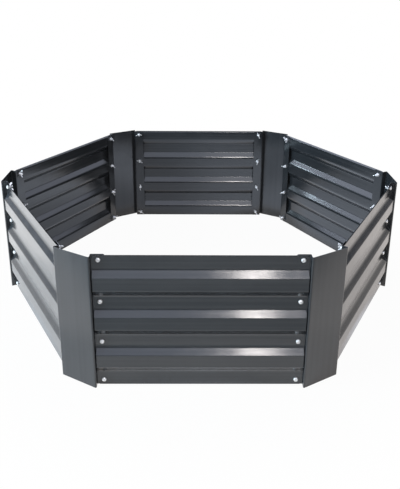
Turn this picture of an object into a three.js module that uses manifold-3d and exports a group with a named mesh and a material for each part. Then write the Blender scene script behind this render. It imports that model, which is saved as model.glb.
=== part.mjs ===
// Hexagonal raised garden bed in coated sheet steel, open at the top and the bottom.
// Six corrugated walls are screwed between six folded corner plates: each wall end lies on the
// outside of a corner plate's flange, and four pan-head screws with wing nuts clamp the two.
// Millimetres, +Z up. The origin is in the middle of the bed, on the ground.

import * as THREE from "three";
import { mergeVertices } from "three/addons/utils/BufferGeometryUtils.js";
import Module from "manifold-3d";

const wasm = await Module();
wasm.setup();

// ---------------------------------------------------------------- driving dimensions

const wallHeight = 300;
const wallLength = 422;
const sheetThickness = 0.6;
const seatGap = 0.3; // between faces that are clamped together

// Corrugation, measured between the sharp corners of the middle of the sheet.
const ribCount = 3;
const ribMargin = 18; // from a wall's upper and lower edges to where its ribs' spacing starts
const ribDepth = 10;
const crestHeight = 28;
const slopeHeight = 15.5;
const crestBend = 3; // mid-sheet radii of the bends
const valleyBend = 15;

// Lip turned outwards along the top of each wall.
const lipHeight = 3.5;
const lipAngle = THREE.MathUtils.degToRad(48);
const lipBend = 2.5;

// Folded corner plates.
const plateWidth = 92.5;
const plateReach = 4; // how far the plates stand out beyond the ribs
const flangeWidth = 28;
const foldBend = 2;
const endGap = foldBend + seatGap; // from a wall's end to the corner plate beside it

// M5 pan-head screws and wing nuts.
const screwInset = 12; // from a wall's end to its row of screws
const screwEdge = 12; // from a wall's upper and lower edges to its outermost screws
const threadDiameter = 5;
const holeDiameter = 6;
const headDiameter = 9.5;
const headHeight = 3.4;
const screwLength = 12;
const nutHeight = 5;
const nutBaseDiameter = 10;
const nutTopDiameter = 7.6;
const wingSpan = 22;
const wingRise = 10.5; // from the nut's seat to the top of its wings
const wingThickness = 1.8;

// How far each wing nut happens to be turned, in degrees anticlockwise from level as seen from
// inside the bed: top screw first, at the wall's left end and then at its right end, again as
// seen from inside.
const wingTurns = {
  front: [[10, -35, 80, 25], [-20, 60, 5, -70]],
  front_right: [[35, -80, 15, -40], [70, -10, 45, 85]],
  back_right: [[-45, 5, 30, -30], [20, 40, -75, 10]],
  back: [[8, -20, 90, -28], [-65, 79, -65, -56]],
  back_left: [[85, 15, -60, 40], [-50, -48, 75, 20]],
  front_left: [[-25, 50, -85, 30], [60, -15, 35, -50]],
};

// ---------------------------------------------------------------- sizes worked out from them

const ribPitch = (wallHeight - 2 * ribMargin) / ribCount;
const ribMiddles = Array.from(
  { length: ribCount },
  (_, rib) => ribMargin + (rib + 0.5) * ribPitch,
);

const wallNames = Object.keys(wingTurns); // the front wall, then anticlockwise seen from above
const cornerNames = [
  "front_right",
  "right",
  "back_right",
  "back_left",
  "left",
  "front_left",
];
const wallStep = (2 * Math.PI) / wallNames.length;
const halfStep = wallStep / 2; // a corner plate faces halfway between its two walls

const returnX = wallLength / 2 + endGap + sheetThickness / 2; // middle of a corner plate's return
const foldReach =
  (plateWidth / 2 + returnX * Math.cos(halfStep)) / Math.sin(halfStep);
const wallMiddle = foldReach - plateReach - ribDepth; // middle of the sheet of a wall's flats
const wallFace = wallMiddle + sheetThickness / 2;
const flangeFace = wallFace - sheetThickness - seatGap; // a flange lies inside the wall
const flangeMiddle = flangeFace - sheetThickness / 2;
const headSeat = wallFace + seatGap;
const grip = 2 * sheetThickness + 3 * seatGap; // from a screw head's seat to its nut's seat

const screwX = wallLength / 2 - screwInset;
const screwPitch = (wallHeight - 2 * screwEdge) / ribCount; // a row of screws on every flat
const screwRows = Array.from(
  { length: ribCount + 1 },
  (_, row) => wallHeight - screwEdge - row * screwPitch,
);

const holeSides = 8;
const fastenerSides = 8;

// ---------------------------------------------------------------- solids

// A closed geometry as a solid that can be cut and joined.
function solidOf(geometry) {
  const bare = geometry.clone();
  bare.deleteAttribute("normal");
  bare.deleteAttribute("uv");
  const merged = mergeVertices(bare, 1e-4);
  return new wasm.Manifold(
    new wasm.Mesh({
      numProp: 3,
      vertProperties: new Float32Array(merged.attributes.position.array),
      triVerts: new Uint32Array(merged.index.array),
    }),
  );
}

function geometryOf(solid) {
  const mesh = solid.getMesh();
  const geometry = new THREE.BufferGeometry();
  geometry.setAttribute(
    "position",
    new THREE.BufferAttribute(mesh.vertProperties, mesh.numProp),
  );
  geometry.setIndex(new THREE.BufferAttribute(mesh.triVerts, 1));
  const faceted = geometry.toNonIndexed();
  faceted.computeVertexNormals();
  return faceted;
}

// The outline of a sheet bent along a line of sharp corners. bends holds the mid-sheet radius
// at each corner between the two ends, and a bend has a step for about every 40 degrees.
function bentSheet(line, bends) {
  const half = sheetThickness / 2;
  const degreesPerStep = 40;
  const sides = { left: [], right: [] };
  const put = (point, outwards, reachLeft, reachRight) => {
    sides.left.push(point.clone().addScaledVector(outwards, reachLeft));
    sides.right.push(point.clone().addScaledVector(outwards, reachRight));
  };
  const leftOf = (direction) => new THREE.Vector2(-direction.y, direction.x);
  const along = line
    .slice(1)
    .map((point, i) => point.clone().sub(line[i]).normalize());
  put(line[0], leftOf(along[0]), half, -half);
  bends.forEach((radius, i) => {
    const before = along[i];
    const after = along[i + 1];
    const turn = Math.atan2(before.cross(after), before.dot(after));
    const hand = Math.sign(turn); // +1 where the line turns left
    const tangent = radius * Math.tan(Math.abs(turn) / 2);
    const centre = line[i + 1]
      .clone()
      .addScaledVector(before, -tangent)
      .addScaledVector(leftOf(before), hand * radius);
    const steps = Math.ceil(
      THREE.MathUtils.radToDeg(Math.abs(turn)) / degreesPerStep,
    );
    for (let step = 0; step <= steps; step++) {
      const spoke = leftOf(before)
        .multiplyScalar(-hand)
        .rotateAround(new THREE.Vector2(), (turn * step) / steps);
      put(centre, spoke, radius - hand * half, radius + hand * half);
    }
  });
  put(line.at(-1), leftOf(along.at(-1)), half, -half);
  return new THREE.Shape([...sides.right, ...sides.left.reverse()]);
}

// A punched hole's cutter along Y, long enough for any one sheet.
function holeCutter(x, y, z) {
  const cutter = new THREE.CylinderGeometry(
    holeDiameter / 2,
    holeDiameter / 2,
    6 * sheetThickness,
    holeSides,
  );
  return cutter.translate(x, y, z);
}

// ---------------------------------------------------------------- the pieces

// One corrugated wall, seen from outside: X runs to the right and Y into the bed.
function wallGeometry() {
  const flat = -wallMiddle;
  const crest = flat - ribDepth;
  const line = [new THREE.Vector2(flat, 0)];
  const bends = [];
  const outer = crestHeight / 2;
  const inner = outer + slopeHeight;
  for (const middle of ribMiddles) {
    line.push(
      new THREE.Vector2(flat, middle - inner),
      new THREE.Vector2(crest, middle - outer),
      new THREE.Vector2(crest, middle + outer),
      new THREE.Vector2(flat, middle + inner),
    );
    bends.push(valleyBend, crestBend, crestBend, valleyBend);
  }
  const lipRun = lipHeight * Math.tan(lipAngle);
  const lipEdge = (sheetThickness / 2) * Math.sin(lipAngle);
  line.push(
    new THREE.Vector2(flat, wallHeight - lipHeight - lipEdge),
    new THREE.Vector2(flat - lipRun, wallHeight - lipEdge),
  );
  bends.push(lipBend);

  const sheet = new THREE.ExtrudeGeometry(bentSheet(line, bends), {
    depth: wallLength,
    bevelEnabled: false,
  });
  sheet.translate(0, 0, -wallLength / 2);
  sheet.applyMatrix4(
    new THREE.Matrix4().makeBasis(
      new THREE.Vector3(0, 1, 0),
      new THREE.Vector3(0, 0, 1),
      new THREE.Vector3(1, 0, 0),
    ),
  );
  let solid = solidOf(sheet);
  for (const z of screwRows) {
    for (const x of [-screwX, screwX]) {
      solid = solid.subtract(solidOf(holeCutter(x, flat, z)));
    }
  }
  return geometryOf(solid);
}

// One folded corner plate, facing along -Y: flange, return, plate, return and flange.
function cornerGeometry() {
  // A wall's right end, turned into the frame of the corner plate beside it.
  const beside = (x, y) =>
    new THREE.Vector2(x, y).rotateAround(new THREE.Vector2(), -halfStep);
  const leftHalf = [
    beside(returnX - flangeWidth, -flangeMiddle),
    beside(returnX, -flangeMiddle),
    beside(returnX, -foldReach),
  ];
  const rightHalf = leftHalf
    .map((point) => new THREE.Vector2(-point.x, point.y))
    .reverse();
  const line = [...leftHalf, ...rightHalf];
  const bends = [foldBend, foldBend, foldBend, foldBend];
  const sheet = new THREE.ExtrudeGeometry(bentSheet(line, bends), {
    depth: wallHeight,
    bevelEnabled: false,
  });
  let solid = solidOf(sheet);
  for (const z of screwRows) {
    for (const side of [-1, 1]) {
      const cutter = holeCutter(-side * screwX, -flangeMiddle, z);
      cutter.rotateZ(side * halfStep);
      solid = solid.subtract(solidOf(cutter));
    }
  }
  return geometryOf(solid);
}

// One wing of a nut: an ear that leans out from the hub, drawn in the plane of the two wings.
function wingGeometry() {
  const root = nutTopDiameter / 2 - wingThickness / 2;
  const tipRadius = 2.4;
  const tipX = wingSpan / 2 - tipRadius;
  const tipY = wingRise - tipRadius;
  const ear = new THREE.Shape();
  ear.moveTo(root, nutHeight * 0.25);
  ear.lineTo(nutBaseDiameter / 2 + 1, nutHeight * 0.4);
  ear.absarc(tipX, tipY, tipRadius, -0.3, Math.PI * 0.8, false);
  ear.lineTo(root, nutHeight - 0.4);
  ear.closePath();
  const wing = new THREE.ExtrudeGeometry(ear, {
    depth: wingThickness,
    bevelEnabled: false,
    curveSegments: 1,
  });
  return wing.translate(0, 0, -wingThickness / 2);
}

// One screw with its wing nut run up on it. The axis is Y with the point inwards, Y is 0 at the
// head's seat, and the wings lie along X.
function fastenerGeometry() {
  const thread = threadDiameter / 2;
  const profile = [
    [0, -headHeight],
    [headDiameter * 0.38, -headHeight * 0.9],
    [headDiameter / 2, 0],
    [thread, 0],
    [thread, grip],
    [nutBaseDiameter / 2, grip],
    [nutTopDiameter / 2, grip + nutHeight],
    [thread, grip + nutHeight],
    [thread, screwLength],
    [0, screwLength],
  ].map(([radius, y]) => new THREE.Vector2(radius, y));
  const turned = new THREE.LatheGeometry(profile, fastenerSides);
  const wing = wingGeometry().translate(0, grip, 0);
  const otherWing = wing.clone().rotateY(Math.PI);
  return geometryOf(
    solidOf(turned).add(solidOf(wing)).add(solidOf(otherWing)),
  );
}

// ---------------------------------------------------------------- the bed

const coatedSteel = new THREE.MeshStandardMaterial({
  color: 0x3d4145,
  roughness: 0.32,
  metalness: 0.1,
});
const zincPlate = new THREE.MeshStandardMaterial({
  color: 0xd2d4d2,
  roughness: 0.3,
  metalness: 0.9,
});

function named(name, geometry, material) {
  const mesh = new THREE.Mesh(geometry, material);
  mesh.name = name;
  return mesh;
}

const wallShape = wallGeometry();
const cornerShape = cornerGeometry();
const fastenerShape = fastenerGeometry();

function wallWithScrews(name, number) {
  const group = new THREE.Group();
  group.rotation.z = number * wallStep;
  group.add(named(`${name}_wall`, wallShape, coatedSteel));
  // Seen from inside the bed, X runs to the left.
  ["left", "right"].forEach((end, side) => {
    screwRows.forEach((z, row) => {
      const fastener = named(
        `${name}_wall_screw_${end}_${row + 1}`,
        fastenerShape,
        zincPlate,
      );
      fastener.position.set(side ? -screwX : screwX, -headSeat, z);
      fastener.rotation.y = THREE.MathUtils.degToRad(
        180 + wingTurns[name][side][row],
      );
      group.add(fastener);
    });
  });
  return group;
}

function cornerPlate(name, number) {
  const mesh = named(`${name}_corner`, cornerShape, coatedSteel);
  mesh.rotation.z = number * wallStep + halfStep;
  return mesh;
}

const bed = new THREE.Group();
bed.add(...wallNames.map(wallWithScrews));
bed.add(...cornerNames.map(cornerPlate));

export default bed;
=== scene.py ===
"""Hexagonal raised garden bed of corrugated sheet steel, photographed on a white floor.

The CAD model is the frame: it gives every place and size that it can. Each corrugated wall and
each folded corner plate is remade as one bent sheet with true bends, rounded corners and screw
holes, and each screw and wing nut as a separate piece. Metres, +Z up.
"""

import math

import bmesh
import bpy
from mathutils import Matrix, Vector


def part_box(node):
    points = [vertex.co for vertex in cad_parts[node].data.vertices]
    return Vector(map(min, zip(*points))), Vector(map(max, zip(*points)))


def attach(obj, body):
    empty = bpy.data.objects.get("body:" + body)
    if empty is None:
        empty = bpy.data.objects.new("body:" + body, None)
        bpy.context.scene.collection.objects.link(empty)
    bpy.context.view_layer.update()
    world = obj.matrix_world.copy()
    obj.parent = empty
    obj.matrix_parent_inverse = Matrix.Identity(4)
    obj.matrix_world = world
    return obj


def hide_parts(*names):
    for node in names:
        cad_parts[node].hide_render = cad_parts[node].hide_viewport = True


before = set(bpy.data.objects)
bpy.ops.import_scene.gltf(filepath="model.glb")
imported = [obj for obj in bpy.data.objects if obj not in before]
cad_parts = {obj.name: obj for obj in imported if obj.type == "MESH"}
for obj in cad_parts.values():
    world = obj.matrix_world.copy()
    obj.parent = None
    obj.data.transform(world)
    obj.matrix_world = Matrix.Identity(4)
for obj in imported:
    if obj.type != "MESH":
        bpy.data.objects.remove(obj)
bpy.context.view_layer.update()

MM = 0.001

# ---------------------------------------------------------------- sizes that the frame doesn't give

WALLS = ["front", "front_right", "back_right", "back", "back_left", "front_left"]
CORNERS = ["front_right", "right", "back_right", "back_left", "left", "front_left"]
ENDS = ["left", "right"]

SHEET = 0.6 * MM
SEAT_GAP = 0.3 * MM

RIB_COUNT = 3
RIB_MARGIN = 18 * MM  # from a wall's edges to where its ribs' spacing starts
CREST_HEIGHT = 28 * MM
SLOPE_HEIGHT = 15.5 * MM
CREST_BEND = 3 * MM
VALLEY_BEND = 15 * MM
LIP_HEIGHT = 3.5 * MM
LIP_ANGLE = math.radians(48)
LIP_BEND = 2.5 * MM

PLATE_WIDTH = 92.5 * MM
FLANGE_WIDTH = 28 * MM
FOLD_BEND = 2 * MM
SHEET_CORNER = 4 * MM  # radius of a sheet's cut corners
ROW_SPACING = 2.2 * MM
BEND_STEPS = 6
WALL_COLUMNS = 64
PLATE_COLUMNS = 44
SMOOTH_ANGLE = 0.6  # edges that turn by more than this stay sharp

SCREW_EDGE = 12 * MM  # from a wall's edges to its outermost screws
HOLE_RADIUS = 3 * MM
THREAD_RADIUS = 2.5 * MM
THREAD_DEPTH = 0.42 * MM
THREAD_PITCH = 0.8 * MM
BORE_GAP = 0.05 * MM
SCREW_LENGTH = 12 * MM
HEAD_RADIUS = 4.75 * MM
HEAD_HEIGHT = 3.4 * MM
HEAD_SQUARENESS = 3.0  # 2 is a half ellipsoid, and a higher number a flatter pan
NUT_HEIGHT = 5 * MM
NUT_BASE_RADIUS = 5 * MM
NUT_TOP_RADIUS = 3.8 * MM
WING_SPAN = 22 * MM
WING_RISE = 10.5 * MM
WING_THICKNESS = 1.8 * MM

# ---------------------------------------------------------------- sizes read from the frame

wall_low, wall_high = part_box("front_wall")
wall_length = wall_high.x - wall_low.x
wall_height = wall_high.z - wall_low.z
rib_depth = wall_high.y - wall_low.y - SHEET
rib_pitch = (wall_height - 2 * RIB_MARGIN) / RIB_COUNT
screw_pitch = (wall_height - 2 * SCREW_EDGE) / RIB_COUNT
wall_middle = SHEET / 2 - wall_high.y  # from the middle of the bed to the middle of a flat's sheet
wall_face = wall_middle + SHEET / 2
half_step = math.pi / len(WALLS)
return_x = wall_length / 2 + FOLD_BEND + SEAT_GAP + SHEET / 2
fold_reach = (PLATE_WIDTH / 2 + return_x * math.cos(half_step)) / math.sin(half_step)
flange_middle = wall_face - SHEET - SEAT_GAP - SHEET / 2


# ---------------------------------------------------------------- node graphs


class Value:
    """An output of a node, which sums up with others and with numbers."""

    def __init__(self, graph, socket):
        self.graph = graph
        self.socket = socket

    def other(self, name):
        """Another output of the same node."""
        return Value(self.graph, self.socket.node.outputs[name])

    def math(self, operation, *others):
        sockets = dict(enumerate((self, *others)))
        return self.graph.node("ShaderNodeMath", {"operation": operation}, sockets)

    def __add__(self, other):
        return self.math("ADD", other)

    def __sub__(self, other):
        return self.math("SUBTRACT", other)

    def __rsub__(self, other):
        return (self * -1.0) + other

    def __mul__(self, other):
        return self.math("MULTIPLY", other)

    def __truediv__(self, other):
        return self.math("DIVIDE", other)

    __radd__ = __add__
    __rmul__ = __mul__

    def at_least(self, other):
        return self.math("MAXIMUM", other)

    def at_most(self, other):
        return self.math("MINIMUM", other)

    def ramp(self, start, end, low=0.0, high=1.0):
        """Runs smoothly from low to high as this value goes from start to end."""
        settings = {"interpolation_type": "SMOOTHSTEP"}
        sockets = {0: self, 1: start, 2: end, 3: low, 4: high}
        return self.graph.node("ShaderNodeMapRange", settings, sockets)


class Graph:
    """A node tree that is written as expressions."""

    def __init__(self, tree):
        self.tree = tree

    def node(self, kind, settings=None, sockets=None, output=0):
        made = self.tree.nodes.new(kind)
        for name, value in (settings or {}).items():
            setattr(made, name, value)
        for key, value in (sockets or {}).items():
            values = value if isinstance(value, list) else [value]
            for one in values:
                if isinstance(one, Value):
                    self.tree.links.new(one.socket, made.inputs[key])
                else:
                    made.inputs[key].default_value = one
        if output is None or not made.outputs:
            return made
        return Value(self, made.outputs[output])

    def named(self, name, data_type="FLOAT"):
        """A named attribute of the geometry."""
        return self.node(
            "GeometryNodeInputNamedAttribute", {"data_type": data_type}, {"Name": name}
        )

    def store(self, geometry, name, value, data_type="FLOAT"):
        return self.node(
            "GeometryNodeStoreNamedAttribute",
            {"data_type": data_type, "domain": "POINT"},
            {"Geometry": geometry, "Name": name, "Value": value},
        )


def modifier_tree(name, inputs):
    """An empty Geometry Nodes tree, and its inputs by name."""
    tree = bpy.data.node_groups.new(name, "GeometryNodeTree")
    tree.interface.new_socket(
        "Geometry", in_out="OUTPUT", socket_type="NodeSocketGeometry"
    )
    tree.interface.new_socket(
        "Geometry", in_out="INPUT", socket_type="NodeSocketGeometry"
    )
    for label, kind in inputs.items():
        tree.interface.new_socket(
            label, in_out="INPUT", socket_type=f"NodeSocket{kind}"
        )
    graph = Graph(tree)
    source = graph.node("NodeGroupInput")
    return graph, {
        label: source.other(label) for label in ["Geometry", *inputs.keys()]
    }


def plain_mesh(piece, tree, values):
    """Runs a tree on a piece and keeps the result as the piece's plain mesh."""
    modifier = piece.modifiers.new(tree.name, "NODES")
    modifier.node_group = tree
    for item in tree.interface.items_tree:
        if item.in_out == "INPUT" and item.name in values:
            modifier[item.identifier] = values[item.name]
    keep_result(piece)


def keep_result(piece):
    """Turns a piece's evaluated shape into its own mesh, without its modifiers."""
    evaluated = piece.evaluated_get(bpy.context.evaluated_depsgraph_get())
    mesh = bpy.data.meshes.new_from_object(evaluated)
    piece.modifiers.clear()
    old = piece.data
    piece.data = mesh
    bpy.data.meshes.remove(old)
    mesh.name = piece.name


# ---------------------------------------------------------------- meshes


def add_object(name, mesh):
    piece = bpy.data.objects.new(name, mesh)
    bpy.context.scene.collection.objects.link(piece)
    return piece


def mesh_of(name, vertices, edges=(), faces=()):
    mesh = bpy.data.meshes.new(name)
    mesh.from_pydata([tuple(v) for v in vertices], list(edges), list(faces))
    return mesh


def lathe(profile, segments):
    """A bmesh turned about Z from (radius, z) points. A profile end off the axis stays open."""
    shape = bmesh.new()
    ring = [shape.verts.new((radius, 0, z)) for radius, z in profile]
    for first, second in zip(ring, ring[1:]):
        shape.edges.new((first, second))
    bmesh.ops.spin(
        shape,
        geom=[*shape.verts, *shape.edges],
        axis=(0, 0, 1),
        cent=(0, 0, 0),
        angle=2 * math.pi,
        steps=segments,
    )
    bmesh.ops.remove_doubles(shape, verts=shape.verts, dist=0.001 * MM)
    bmesh.ops.recalc_face_normals(shape, faces=shape.faces)
    return shape


def cylinder(radius, depth, sides, matrix):
    """A bmesh cylinder along its own Z."""
    shape = bmesh.new()
    bmesh.ops.create_cone(
        shape,
        cap_ends=True,
        segments=sides,
        radius1=radius,
        radius2=radius,
        depth=depth,
        matrix=matrix,
    )
    return shape


def joined(name, *shapes):
    """One mesh from several bmeshes, smooth where its faces meet gently."""
    mesh = bpy.data.meshes.new(name)
    whole = bmesh.new()
    for shape in shapes:
        shape.to_mesh(mesh)
        whole.from_mesh(mesh)
        shape.free()
    for edge in whole.edges:
        edge.smooth = len(edge.link_faces) == 2 and edge.calc_face_angle() < SMOOTH_ANGLE
    for face in whole.faces:
        face.smooth = True
    whole.to_mesh(mesh)
    whole.free()
    return mesh


# ---------------------------------------------------------------- bent sheets


def sheet_tree():
    """Bends a flat sheet along a line of sharp corners.

    The line lies in the piece's XY plane, each of its points has the mid-sheet radius of its
    bend, and the sheet is Length long along Z.
    """
    graph, given = modifier_tree(
        "bent_sheet",
        {
            "Length": "Float",
            "Thickness": "Float",
            "Corner Radius": "Float",
            "Row Spacing": "Float",
            "Columns": "Int",
            "Bend Steps": "Int",
            "Material": "Material",
        },
    )
    line = described_line(graph, bent_line(graph, given))
    path = column_path(graph, given)
    sheet = graph.node("GeometryNodeCurveToMesh", {}, {"Curve": path, "Profile Curve": line})
    place = inner_face(graph, given)
    sheet = graph.node("GeometryNodeSetPosition", {}, {"Geometry": sheet, "Position": place})
    finish_tree(graph, thickened(graph, given, sheet), given["Material"])
    return graph.tree


def bent_line(graph, given):
    """The section with round bends, and with points close enough for the sheet's rows."""
    node = graph.node
    line = node("GeometryNodeMeshToCurve", {}, {"Mesh": given["Geometry"]})
    line = node(
        "GeometryNodeFilletCurve",
        {"mode": "POLY"},
        {"Curve": line, "Count": given["Bend Steps"], "Radius": graph.named("bend")},
    )
    place = node("GeometryNodeInputPosition")
    after = node("GeometryNodeOffsetPointInCurve", {}, {"Offset": 1}, "Point Index")
    next_place = node(
        "GeometryNodeFieldAtIndex",
        {"data_type": "FLOAT_VECTOR", "domain": "POINT"},
        {"Index": after, "Value": place},
    )
    gap = node(
        "ShaderNodeVectorMath",
        {"operation": "DISTANCE"},
        {0: place, 1: next_place},
        "Value",
    )
    cuts = (gap / given["Row Spacing"]).math("FLOOR")
    return node("GeometryNodeSubdivideCurve", {}, {"Curve": line, "Cuts": cuts})


def described_line(graph, line):
    """Stores each section point's place, directions and distance, for after the sweep."""
    node = graph.node
    tangent = node("GeometryNodeInputTangent")
    split = node("ShaderNodeSeparateXYZ", {}, {0: tangent})
    facing = node("ShaderNodeCombineXYZ", {}, {"X": split.other("Y") * -1.0, "Y": split})
    place = node("GeometryNodeInputPosition")
    line = graph.store(line, "section", place, "FLOAT_VECTOR")
    line = graph.store(line, "tangent", tangent, "FLOAT_VECTOR")
    line = graph.store(line, "facing", facing, "FLOAT_VECTOR")
    line = graph.store(line, "across", node("GeometryNodeSplineParameter", output="Length"))
    return graph.store(line, "width", node("GeometryNodeSplineLength"))


def column_path(graph, given):
    """The sheet's columns, which crowd towards its ends, where its corners are round."""
    node = graph.node
    path = node("GeometryNodeCurvePrimitiveLine", {}, {"End": (0, 0, 1)})
    path = node(
        "GeometryNodeResampleCurve",
        {"mode": "COUNT"},
        {"Curve": path, "Count": given["Columns"]},
    )
    factor = node("GeometryNodeSplineParameter")
    along = (factor * math.pi).math("COSINE") * given["Length"] * -0.5
    return graph.store(path, "along", along)


def corner_shift(graph, given):
    """How far a point slides along the section, to round the sheet's four corners."""
    radius = given["Corner Radius"]
    from_end = given["Length"] * 0.5 - graph.named("along").math("ABSOLUTE")
    short = radius - from_end.at_most(radius)
    inset = radius - (radius * radius - short * short).at_least(0.0).math("SQRT")
    reach = radius * 3.0
    from_start = graph.named("across")
    near_start = (1.0 - from_start / reach).at_least(0.0)
    near_end = (1.0 - (graph.named("width") - from_start) / reach).at_least(0.0)
    return inset * (near_start - near_end)


def inner_face(graph, given):
    """Where a point of the sheet lies on the inner face of the bent one."""
    node = graph.node

    def scaled(direction, amount):
        return node(
            "ShaderNodeVectorMath",
            {"operation": "SCALE"},
            {0: graph.named(direction, "FLOAT_VECTOR"), "Scale": amount},
        )

    slid = scaled("tangent", corner_shift(graph, given))
    lifted = node("ShaderNodeCombineXYZ", {}, {"Z": graph.named("along")})
    half_in = scaled("facing", given["Thickness"] * -0.5)
    placed = graph.named("section", "FLOAT_VECTOR")
    for part in (slid, lifted, half_in):
        placed = node("ShaderNodeVectorMath", {"operation": "ADD"}, {0: placed, 1: part})
    return placed


def thickened(graph, given, sheet):
    """The solid between the sheet's inner face and its outer one."""
    node = graph.node
    raised = node(
        "GeometryNodeExtrudeMesh",
        {"mode": "FACES"},
        {
            "Mesh": sheet,
            "Offset": graph.named("facing", "FLOAT_VECTOR"),
            "Offset Scale": given["Thickness"],
            "Individual": False,
        },
    )
    turned = node("GeometryNodeFlipFaces", {}, {"Mesh": sheet})
    solid = node("GeometryNodeJoinGeometry", {}, {"Geometry": [raised, turned]})
    return node(
        "GeometryNodeMergeByDistance", {}, {"Geometry": solid, "Distance": 0.01 * MM}
    )


def finish_tree(graph, geometry, material):
    real = graph.node("GeometryNodeRealizeInstances", {}, {"Geometry": geometry})
    painted = graph.node(
        "GeometryNodeSetMaterial", {}, {"Geometry": real, "Material": material}
    )
    graph.node("NodeGroupOutput", {}, {0: painted}, None)


def bent_sheet(name, tree, line, bends, size, material, cutters, matrix):
    """A sheet bent along a line and punched, as a plain mesh in its place.

    size holds the sheet's length and its number of columns.
    """
    length, columns = size
    mesh = mesh_of(
        name,
        [(point[0], point[1], 0) for point in line],
        [(i, i + 1) for i in range(len(line) - 1)],
    )
    radii = mesh.attributes.new("bend", "FLOAT", "POINT")
    radii.data.foreach_set("value", [0.0, *bends, 0.0])
    piece = add_object(name, mesh)
    plain_mesh(
        piece,
        tree,
        {
            "Length": length,
            "Thickness": SHEET,
            "Corner Radius": SHEET_CORNER,
            "Row Spacing": ROW_SPACING,
            "Columns": columns,
            "Bend Steps": BEND_STEPS,
            "Material": material,
        },
    )
    punch(piece, cutters)
    piece.data.transform(matrix)
    clean_sheet(piece.data)
    return piece


def punch(piece, cutters):
    """Cuts the screw holes."""
    tool = add_object("punch", joined("punch", *cutters))
    cut = piece.modifiers.new("holes", "BOOLEAN")
    cut.operation = "DIFFERENCE"
    cut.solver = "EXACT"
    cut.object = tool
    keep_result(piece)
    mesh = tool.data
    bpy.data.objects.remove(tool)
    bpy.data.meshes.remove(mesh)


def clean_sheet(mesh):
    """Faces outwards, and smooth apart from the cut edges."""
    shape = bmesh.new()
    shape.from_mesh(mesh)
    bmesh.ops.recalc_face_normals(shape, faces=shape.faces)
    for face in shape.faces:
        face.smooth = True
    for edge in shape.edges:
        edge.smooth = len(edge.link_faces) == 2 and edge.calc_face_angle() < SMOOTH_ANGLE
    shape.to_mesh(mesh)
    shape.free()


def wall_line():
    """A wall's section: outwards from its flats, and upwards from the ground."""
    line = [(0.0, 0.0)]
    bends = []
    for rib in range(RIB_COUNT):
        middle = RIB_MARGIN + (rib + 0.5) * rib_pitch
        outer = CREST_HEIGHT / 2
        inner = outer + SLOPE_HEIGHT
        line += [
            (0.0, middle - inner),
            (rib_depth, middle - outer),
            (rib_depth, middle + outer),
            (0.0, middle + inner),
        ]
        bends += [VALLEY_BEND, CREST_BEND, CREST_BEND, VALLEY_BEND]
    edge = SHEET / 2 * math.sin(LIP_ANGLE)
    line += [
        (0.0, wall_height - LIP_HEIGHT - edge),
        (LIP_HEIGHT * math.tan(LIP_ANGLE), wall_height - edge),
    ]
    bends += [LIP_BEND]
    return line, bends


def corner_line():
    """A corner plate's section, seen from above and facing -Y."""

    def beside(x, y):
        """A wall's right end, turned into the frame of the corner plate beside it."""
        return Matrix.Rotation(-half_step, 2) @ Vector((x, y))

    left = [
        beside(return_x - FLANGE_WIDTH, -flange_middle),
        beside(return_x, -flange_middle),
        beside(return_x, -fold_reach),
    ]
    right = [Vector((-point.x, point.y)) for point in reversed(left)]
    return [*left, *right], [FOLD_BEND] * 4


# ---------------------------------------------------------------- fasteners


def screw_mesh():
    """A pan-head screw with a cross recess. Its axis is Z, and its head rests on Z = 0."""
    steps = 10
    roundness = 2 / HEAD_SQUARENESS
    profile = [(0.0, HEAD_HEIGHT)]
    for i in range(1, steps + 1):
        angle = math.pi / 2 * i / steps
        radius = HEAD_RADIUS * math.sin(angle) ** roundness
        height = HEAD_HEIGHT * max(0.0, math.cos(angle)) ** roundness
        profile.append((radius, height))
    profile.append((0.0, 0.0))
    head = lathe(profile, 40)
    piece = add_object("screw_head", joined("screw_head", head))
    for angle in (0, math.pi / 2):  # one after the other, because crossed blades cut nothing
        punch(piece, [recess_blade(angle)])
    cut_head = bmesh.new()
    cut_head.from_mesh(piece.data)
    bmesh.ops.remove_doubles(cut_head, verts=cut_head.verts, dist=0.005 * MM)
    mesh = piece.data
    bpy.data.objects.remove(piece)
    bpy.data.meshes.remove(mesh)
    return joined("screw", cut_head, thread())


def recess_blade(angle):
    """One tapered bar of a cross recess."""
    top = HEAD_HEIGHT * 1.1
    bottom = HEAD_HEIGHT * 0.42
    long_top, long_bottom = HEAD_RADIUS * 0.56, HEAD_RADIUS * 0.26
    wide_top, wide_bottom = 0.62 * MM, 0.42 * MM
    shape = bmesh.new()
    rings = []
    for length, width, z in (
        (long_bottom, wide_bottom, bottom),
        (long_top, wide_top, top),
    ):
        corners = [(-length, -width), (length, -width), (length, width), (-length, width)]
        rings.append([shape.verts.new((x, y, z)) for x, y in corners])
    shape.faces.new(reversed(rings[0]))
    shape.faces.new(rings[1])
    for i in range(4):
        j = (i + 1) % 4
        shape.faces.new((rings[0][i], rings[0][j], rings[1][j], rings[1][i]))
    shape.transform(Matrix.Rotation(angle, 4, "Z"))
    return shape


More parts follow.
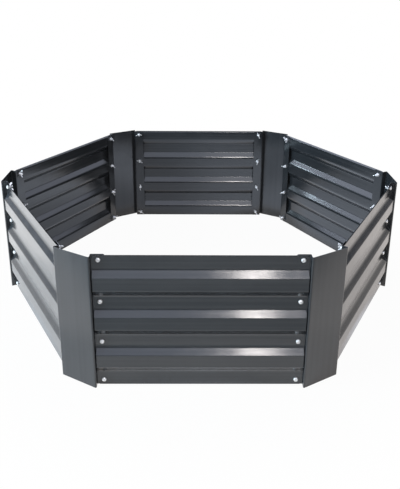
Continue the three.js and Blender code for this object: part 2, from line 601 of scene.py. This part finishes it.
def thread():
    """The threaded shank: a ridge that winds down from the head to the screw's point."""
    per_turn = 20
    turns = int(SCREW_LENGTH / THREAD_PITCH)
    steps = turns * per_turn
    shape = bmesh.new()
    roots, crests = [], []
    for i in range(steps + 1):
        angle = 2 * math.pi * i / per_turn
        z = -THREAD_PITCH * i / per_turn
        taper = min(1.0, (steps - i) / per_turn)
        crest = THREAD_RADIUS - THREAD_DEPTH * (1 - taper)
        root = THREAD_RADIUS - THREAD_DEPTH
        across = Vector((math.cos(angle), math.sin(angle), 0))
        roots.append(shape.verts.new(across * root + Vector((0, 0, z))))
        ridge = z - THREAD_PITCH / 2
        crests.append(shape.verts.new(across * crest + Vector((0, 0, max(ridge, -SCREW_LENGTH)))))
    for i in range(steps):
        shape.faces.new((roots[i], roots[i + 1], crests[i + 1], crests[i]))
        if i + per_turn < steps:
            shape.faces.new(
                (crests[i], crests[i + 1], roots[i + 1 + per_turn], roots[i + per_turn])
            )
    bmesh.ops.remove_doubles(shape, verts=shape.verts, dist=0.001 * MM)
    bmesh.ops.holes_fill(shape, edges=shape.edges, sides=0)
    bmesh.ops.triangulate(shape, faces=[face for face in shape.faces if len(face.verts) > 4])
    bmesh.ops.recalc_face_normals(shape, faces=shape.faces)
    return shape


def wing_nut_mesh():
    """A wing nut. It rests on Z = 0 and rises along -Z, and its wings lie along X."""
    bore = THREAD_RADIUS + BORE_GAP
    soft = 0.5 * MM
    hub = lathe(
        [
            (bore, 0.0),
            (NUT_BASE_RADIUS - soft, 0.0),
            (NUT_BASE_RADIUS, -soft),
            (NUT_BASE_RADIUS - 0.1 * MM, -NUT_HEIGHT * 0.3),
            (NUT_TOP_RADIUS, -NUT_HEIGHT + soft),
            (NUT_TOP_RADIUS - soft, -NUT_HEIGHT),
            (bore, -NUT_HEIGHT),
            (bore, 0.0),
        ],
        36,
    )
    return joined("wing_nut", hub, wing(0), wing(math.pi))


def wing(angle):
    """One ear: it leans out from the hub and ends in a round tip."""
    tip_radius = 2.5 * MM
    tip = Vector((WING_SPAN / 2 - tip_radius, WING_RISE - tip_radius))
    root = NUT_TOP_RADIUS - WING_THICKNESS / 2
    outline = [Vector((root, NUT_HEIGHT * 0.22)), Vector((NUT_BASE_RADIUS, NUT_HEIGHT * 0.3))]
    outline.append(Vector((NUT_BASE_RADIUS + 1.6 * MM, NUT_HEIGHT * 0.72)))
    first, last, steps = -0.45, math.pi * 0.86, 12
    for i in range(steps + 1):
        turn = first + (last - first) * i / steps
        outline.append(tip + tip_radius * Vector((math.cos(turn), math.sin(turn))))
    outline.append(Vector((NUT_TOP_RADIUS + 0.7 * MM, NUT_HEIGHT * 1.12)))
    outline.append(Vector((root, NUT_HEIGHT * 0.93)))
    shape = bmesh.new()
    thick = WING_THICKNESS / 2

    def half_at(x):
        """Half the ear's thickness: it thins towards the tip."""
        return thick * (1.15 - 0.4 * (x - root) / (WING_SPAN / 2 - root))

    front = [shape.verts.new((p.x, half_at(p.x), -p.y)) for p in outline]
    back = [shape.verts.new((p.x, -half_at(p.x), -p.y)) for p in outline]
    shape.faces.new(front)
    shape.faces.new(reversed(back))
    count = len(outline)
    for i in range(count):
        j = (i + 1) % count
        shape.faces.new((front[i], back[i], back[j], front[j]))
    rims = [e for e in shape.edges if e.verts[0].co.y * e.verts[1].co.y > 0]
    bmesh.ops.bevel(
        shape, geom=rims, offset=0.45 * MM, segments=3, profile=0.6, affect="EDGES"
    )
    bmesh.ops.recalc_face_normals(shape, faces=shape.faces)
    shape.transform(Matrix.Rotation(angle, 4, "Z"))
    return shape


def fastener_pose(node, outward):
    """A fastener's head seat on its axis, and the direction of its wings, from its solid."""
    points = [v.co.copy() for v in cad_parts[node].data.vertices]
    depths = [p.dot(outward) for p in points]
    lowest, highest = min(depths), max(depths)
    end = [p for p, d in zip(points, depths) if d < lowest + 0.05 * MM]
    axis = sum(end, Vector()) / len(end)
    axis -= axis.dot(outward) * outward
    seat = axis + (highest - HEAD_HEIGHT) * outward
    spokes = [p - axis - d * outward for p, d in zip(points, depths)]
    far = max(spokes, key=lambda s: s.length)
    tips = [s for s in spokes if s.length > 0.97 * far.length and s.dot(far) > 0]
    return seat, sum(tips, Vector()).normalized()


def turned_to(outward, across):
    """The rotation that takes Z to outward and X to across."""
    columns = [across, outward.cross(across), outward]
    return Matrix([[c[i] for c in columns] for i in range(3)])


def fastener_tree():
    """Puts one copy of an object on each point, turned by the point's pose and a random spin."""
    graph, given = modifier_tree(
        "fasteners",
        {"Fastener": "Object", "Spin": "Float", "Seed": "Int", "Material": "Material"},
    )
    node = graph.node
    shape = node(
        "GeometryNodeObjectInfo",
        {"transform_space": "ORIGINAL"},
        {"Object": given["Fastener"]},
        "Geometry",
    )
    pose = node(
        "FunctionNodeEulerToRotation",
        {},
        {"Euler": graph.named("pose", "FLOAT_VECTOR")},
    )
    angle = node(
        "FunctionNodeRandomValue",
        {"data_type": "FLOAT"},
        {"Min": 0.0, "Max": given["Spin"], "Seed": given["Seed"]},
        "Value",
    )
    spin = node(
        "FunctionNodeAxisAngleToRotation", {}, {"Axis": (0, 0, 1), "Angle": angle}
    )
    rotation = node(
        "FunctionNodeRotateRotation",
        {"rotation_space": "LOCAL"},
        {"Rotation": pose, "Rotate By": spin},
    )
    copies = node(
        "GeometryNodeInstanceOnPoints",
        {},
        {"Points": given["Geometry"], "Instance": shape, "Rotation": rotation},
    )
    finish_tree(graph, copies, given["Material"])
    return graph.tree


def fasteners(name, tree, shape, seats, spin, seed, material):
    """One wall's fasteners of one kind, as a plain mesh. seats holds (point, rotation)."""
    mesh = mesh_of(name, [point for point, _ in seats])
    poses = mesh.attributes.new("pose", "FLOAT_VECTOR", "POINT")
    flat = [angle for _, rotation in seats for angle in rotation.to_euler()]
    poses.data.foreach_set("vector", flat)
    piece = add_object(name, mesh)
    values = {"Fastener": shape, "Spin": spin, "Seed": seed, "Material": material}
    plain_mesh(piece, tree, values)
    return piece


# ---------------------------------------------------------------- materials


def material_graph(name):
    material = bpy.data.materials.new(name)
    material.use_nodes = True
    material.node_tree.nodes.clear()
    return material, Graph(material.node_tree)


def noise(graph, place, scale, detail=2.0):
    return graph.node(
        "ShaderNodeTexNoise", {}, {"Vector": place, "Scale": scale, "Detail": detail}
    )


def mixed(graph, factor, first, second):
    """A colour between two others."""
    return graph.node(
        "ShaderNodeMix",
        {"data_type": "RGBA"},
        {"Factor": factor, 6: first, 7: second},
        2,
    )


def coated_steel(name, stretch):
    """Dark grey polyester coating on rolled sheet: smooth, slightly glossy and barely uneven.

    The mill's faint streaks run along the axes that stretch holds small numbers for.
    """
    material, graph = material_graph(name)
    node = graph.node
    place = node("ShaderNodeTexCoord", output="Object")
    drawn = node("ShaderNodeVectorMath", {"operation": "MULTIPLY"}, {0: place, 1: stretch})
    broad = noise(graph, place, 7.0, 3.0)
    fine = noise(graph, place, 900.0, 2.0)
    smudges = noise(graph, place, 30.0, 5.0)
    streaks = noise(graph, drawn, 1.0, 3.0)
    tone = broad * 0.4 + streaks * 0.6
    colour = mixed(
        graph, tone.ramp(0.35, 0.65), (0.024, 0.027, 0.031, 1), (0.033, 0.036, 0.040, 1)
    )
    roughness = smudges.ramp(0.35, 0.75, 0.13, 0.18) + streaks.ramp(0.3, 0.7, 0.0, 0.03)
    waves = node("ShaderNodeBump", {}, {"Height": broad, "Distance": 0.6 * MM, "Strength": 0.5})
    lines = node(
        "ShaderNodeBump",
        {},
        {"Height": streaks, "Distance": 0.10 * MM, "Strength": 1.0, "Normal": waves},
    )
    peel = node(
        "ShaderNodeBump",
        {},
        {"Height": fine, "Distance": 0.006 * MM, "Strength": 1.0, "Normal": lines},
    )
    shader = node(
        "ShaderNodeBsdfPrincipled",
        {},
        {"Base Color": colour, "Roughness": roughness, "IOR": 1.5, "Normal": peel},
    )
    node("ShaderNodeOutputMaterial", {}, {"Surface": shader}, None)
    return material


def zinc_plate():
    """Bright zinc on small steel fasteners, a little dull in places."""
    material, graph = material_graph("zinc_plate")
    node = graph.node
    place = node("ShaderNodeTexCoord", output="Object")
    clouds = noise(graph, place, 260.0, 4.0)
    grain = noise(graph, place, 2200.0, 2.0)
    colour = mixed(graph, clouds.ramp(0.3, 0.7), (0.70, 0.71, 0.72, 1), (0.84, 0.84, 0.83, 1))
    roughness = clouds.ramp(0.3, 0.7, 0.48, 0.36)
    bump = node("ShaderNodeBump", {}, {"Height": grain, "Distance": 0.02 * MM, "Strength": 0.6})
    shader = node(
        "ShaderNodeBsdfPrincipled",
        {},
        {"Base Color": colour, "Metallic": 0.6, "Roughness": roughness, "Normal": bump},
    )
    node("ShaderNodeOutputMaterial", {}, {"Surface": shader}, None)
    return material


def floor_paint():
    """White paper, with the bed's faint shadow round its foot.

    Glossy rays also see painted light on it, an emission in zones that the steel shows as
    painted reflections: bluish inside the bed, and warmer outside.
    """
    material, graph = material_graph("white_paper")
    node = graph.node
    camera_ray = node("ShaderNodeLightPath", output="Is Camera Ray")
    glossy_ray = camera_ray.other("Is Glossy Ray")
    place = node("ShaderNodeTexCoord", output="Object")
    out = node("ShaderNodeVectorMath", {"operation": "LENGTH"}, {0: place}, "Value")
    across = node("ShaderNodeSeparateXYZ", {}, {0: place})
    inside = across.ramp(-0.15, 0.15, 0.9, 1.7)
    outside = out.ramp(0.6, 0.7) * across.ramp(-0.3, 0.3, 0.5, 0.22) + 0.75
    outside = outside * across.other("Y").ramp(-0.68, -0.55)
    outside = outside * (out.ramp(1.0, 2.5) * across.ramp(-1.0, 1.0, 0.12, -0.35) + 1.0)
    left_bed = out.ramp(0.4, 0.5)
    # painted light: an emission that only glossy rays see, so the steel shows painted reflections
    # of these zones
    painted_glow = inside * left_bed.ramp(0.0, 1.0, 1.0, 0.0) + outside * left_bed
    painted_glow_tint = mixed(graph, left_bed, (0.79, 0.86, 1.0, 1), (1.0, 0.93, 0.89, 1))
    paper = node("ShaderNodeBsdfDiffuse", {}, {"Color": (0.8, 0.8, 0.8, 1)})
    shine = node("ShaderNodeEmission", {}, {"Color": painted_glow_tint, "Strength": painted_glow * glossy_ray})
    lit = node("ShaderNodeAddShader", {}, {0: paper, 1: shine})
    seen = node("ShaderNodeEmission", {}, {"Strength": 1.0})
    white = camera_ray * out.ramp(0.5, 0.85, 0.965, 1.0)
    shader = node("ShaderNodeMixShader", {}, {0: white, 1: lit, 2: seen})
    node("ShaderNodeOutputMaterial", {}, {"Surface": shader}, None)
    return material


# ---------------------------------------------------------------- stage


def set_world():
    """White to the camera, a bright band above the bed to glossy rays, and dim to the rest."""
    world = bpy.data.worlds.new("studio")
    world.use_nodes = True
    world.node_tree.nodes.clear()
    graph = Graph(world.node_tree)
    node = graph.node
    camera_ray = node("ShaderNodeLightPath", output="Is Camera Ray")
    glossy_ray = camera_ray.other("Is Glossy Ray")
    across = node("ShaderNodeSeparateXYZ", {}, {0: node("ShaderNodeTexCoord")})
    height = across.other("Z")
    band = across.ramp(-0.2, 0.2, 1.6, 0.0) * across.other("Y").ramp(-0.4, 0.0) + 2.2
    band = band * height.ramp(0.25, 0.45) * height.ramp(0.8, 0.95, 1.0, 0.2)
    low = across.ramp(-0.7, -0.4, 0.45, 0.2) * height.ramp(0.25, 0.45, 1.0, 0.0)
    soft = node("ShaderNodeBackground", {}, {"Color": (0.9, 0.95, 1.0, 1), "Strength": 0.15})
    seen = node("ShaderNodeBackground", {}, {"Color": (1, 1, 1, 1), "Strength": 1.0})
    shine = node(
        "ShaderNodeBackground", {}, {"Color": (0.77, 0.83, 1.0, 1), "Strength": band + low}
    )
    mix = node("ShaderNodeMixShader", {}, {0: glossy_ray, 1: soft, 2: shine})
    mix = node("ShaderNodeMixShader", {}, {0: camera_ray, 1: mix, 2: seen})
    node("ShaderNodeOutputWorld", {}, {"Surface": mix}, None)
    bpy.context.scene.world = world


def softbox(name, start, end, width, watts, colour=(1, 1, 1)):
    """A rectangular lamp from one point to another, turned to face the bed."""
    data = bpy.data.lights.new(name, "AREA")
    data.shape = "RECTANGLE"
    start, end = Vector(start), Vector(end)
    data.size = width
    data.size_y = (end - start).length
    data.energy = watts
    data.color = colour
    middle = (start + end) / 2
    along = (end - start).normalized()
    away = middle - Vector((0, 0, wall_height / 2))
    away = (away - away.dot(along) * along).normalized()
    turn = Matrix((along.cross(away), along, away)).transposed()
    light = bpy.data.objects.new(name, data)
    light.matrix_world = Matrix.Translation(middle) @ turn.to_4x4()
    bpy.context.scene.collection.objects.link(light)


def add_lights():
    """Soft light from the left, and narrow lamps for the highlights along the ribs."""
    blue, warm = (0.70, 0.88, 1.0), (1.0, 0.94, 0.91)
    softbox("left", (-2.6, -1.0, 0.1), (-2.6, -1.0, 1.7), 1.6, 118, blue)
    softbox("right", (2.6, -1.0, 0.1), (2.6, -1.0, 1.7), 1.6, 4, warm)
    softbox("front_strip", (0.378, -2.75, 0.91), (0.276, -1.8, 1.80), 0.12, 21, warm)
    softbox("back_strip", (0.34, -1.6, 1.75), (0.28, -0.8, 1.95), 0.4, 1.5)
    softbox("back_left", (-2.05, 1.26, 1.0), (-2.05, 1.26, 1.35), 0.12, 4.5, blue)


def add_floor(material):
    half = 30.0
    corners = [(-half, -half, 0), (half, -half, 0), (half, half, 0), (-half, half, 0)]
    floor = add_object("floor", mesh_of("floor", corners, (), [(0, 1, 2, 3)]))
    floor.data.materials.append(material)


def add_camera():
    """The photograph's view, found by fitting the bed's own proportions to the photo."""
    photo_width, photo_height = 400, 489
    focal_pixels = 603.9
    axis_row = 169.0  # the photo's row that the optical axis meets
    tilt, yaw, roll = 1.242, -0.0085, 0.0060
    data = bpy.data.cameras.new("photo_camera")
    longest = max(photo_width, photo_height)
    data.lens = data.sensor_width * focal_pixels / longest
    data.shift_y = (axis_row - photo_height / 2) / longest
    data.clip_end = 200
    camera = bpy.data.objects.new("photo_camera", data)
    turn = (
        Matrix.Rotation(yaw, 4, "Z")
        @ Matrix.Rotation(tilt, 4, "X")
        @ Matrix.Rotation(roll, 4, "Z")
    )
    camera.matrix_world = Matrix.Translation((-0.0116, -1.4964, 0.8311)) @ turn
    bpy.context.scene.collection.objects.link(camera)
    bpy.context.scene.camera = camera


# ---------------------------------------------------------------- the bed


def ride_as(piece, slot, *nodes):
    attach(piece, "root")
    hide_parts(*nodes)


def screw_rows():
    return [wall_height - SCREW_EDGE - row * screw_pitch for row in range(RIB_COUNT + 1)]


def screw_reach():
    """How far a wall's screws are from its middle."""
    seat, _ = fastener_pose("front_wall_screw_left_1", Vector((0, -1, 0)))
    return abs(seat.x)


def hole_cutter(place, axis):
    turned = place @ Matrix.Rotation(math.pi / 2, 4, axis)
    return cylinder(HOLE_RADIUS, 10 * SHEET, 24, turned)


def wall_cutters():
    return [
        hole_cutter(Matrix.Translation((0, z, side * screw_reach())), "Y")
        for z in screw_rows()
        for side in (-1, 1)
    ]


def corner_cutters():
    cutters = []
    for z in screw_rows():
        for side in (-1, 1):
            middle = (-side * screw_reach(), -flange_middle, z - wall_height / 2)
            turn = Matrix.Rotation(side * half_step, 4, "Z")
            cutters.append(hole_cutter(turn @ Matrix.Translation(middle), "X"))
    return cutters


def add_walls(tree, material):
    line, bends = wall_line()
    axes = Matrix(((0, 0, -1, 0), (-1, 0, 0, -wall_middle), (0, 1, 0, 0), (0, 0, 0, 1)))
    for number, name in enumerate(WALLS):
        place = Matrix.Rotation(2 * half_step * number, 4, "Z") @ axes
        label, size = f"{name}_wall_sheet", (wall_length, WALL_COLUMNS)
        piece = bent_sheet(label, tree, line, bends, size, material, wall_cutters(), place)
        ride_as(piece, "coated_steel", f"{name}_wall")


def add_corners(tree, material):
    line, bends = corner_line()
    for number, name in enumerate(CORNERS):
        turn = Matrix.Rotation(half_step * (2 * number + 1), 4, "Z")
        place = turn @ Matrix.Translation((0, 0, wall_height / 2))
        label, size = f"{name}_corner_plate", (wall_height, PLATE_COLUMNS)
        piece = bent_sheet(label, tree, line, bends, size, material, corner_cutters(), place)
        ride_as(piece, "coated_steel", f"{name}_corner")


def add_fasteners(material):
    tree = fastener_tree()
    screw = add_object("screw_pattern", screw_mesh())
    nut = add_object("wing_nut_pattern", wing_nut_mesh())
    grip = 2 * SHEET + 3 * SEAT_GAP  # from a head's seat to its nut's seat
    for number, name in enumerate(WALLS):
        outward = Matrix.Rotation(2 * half_step * number, 3, "Z") @ Vector((0, -1, 0))
        nodes = [
            f"{name}_wall_screw_{end}_{row + 1}"
            for end in ENDS
            for row in range(RIB_COUNT + 1)
        ]
        poses = [fastener_pose(node, outward) for node in nodes]
        heads = [(seat, turned_to(outward, across)) for seat, across in poses]
        nuts = [(seat - grip * outward, turn) for seat, turn in heads]
        screws = fasteners(
            f"{name}_wall_screws", tree, screw, heads, math.pi, number, material
        )
        wings = fasteners(
            f"{name}_wall_wing_nuts", tree, nut, nuts, 0.0, number, material
        )
        for piece in (screws, wings):
            ride_as(piece, "zinc_plate", *nodes)
    for pattern in (screw, nut):
        mesh = pattern.data
        bpy.data.objects.remove(pattern)
        bpy.data.meshes.remove(mesh)


view = bpy.context.scene.view_settings
view.view_transform = "Standard"
sheets = sheet_tree()
add_walls(sheets, coated_steel("coated_wall", (1.5, 1.5, 160)))
add_corners(sheets, coated_steel("coated_plate", (60, 60, 1.0)))
add_fasteners(zinc_plate())
add_floor(floor_paint())
set_world()
add_lights()
add_camera()
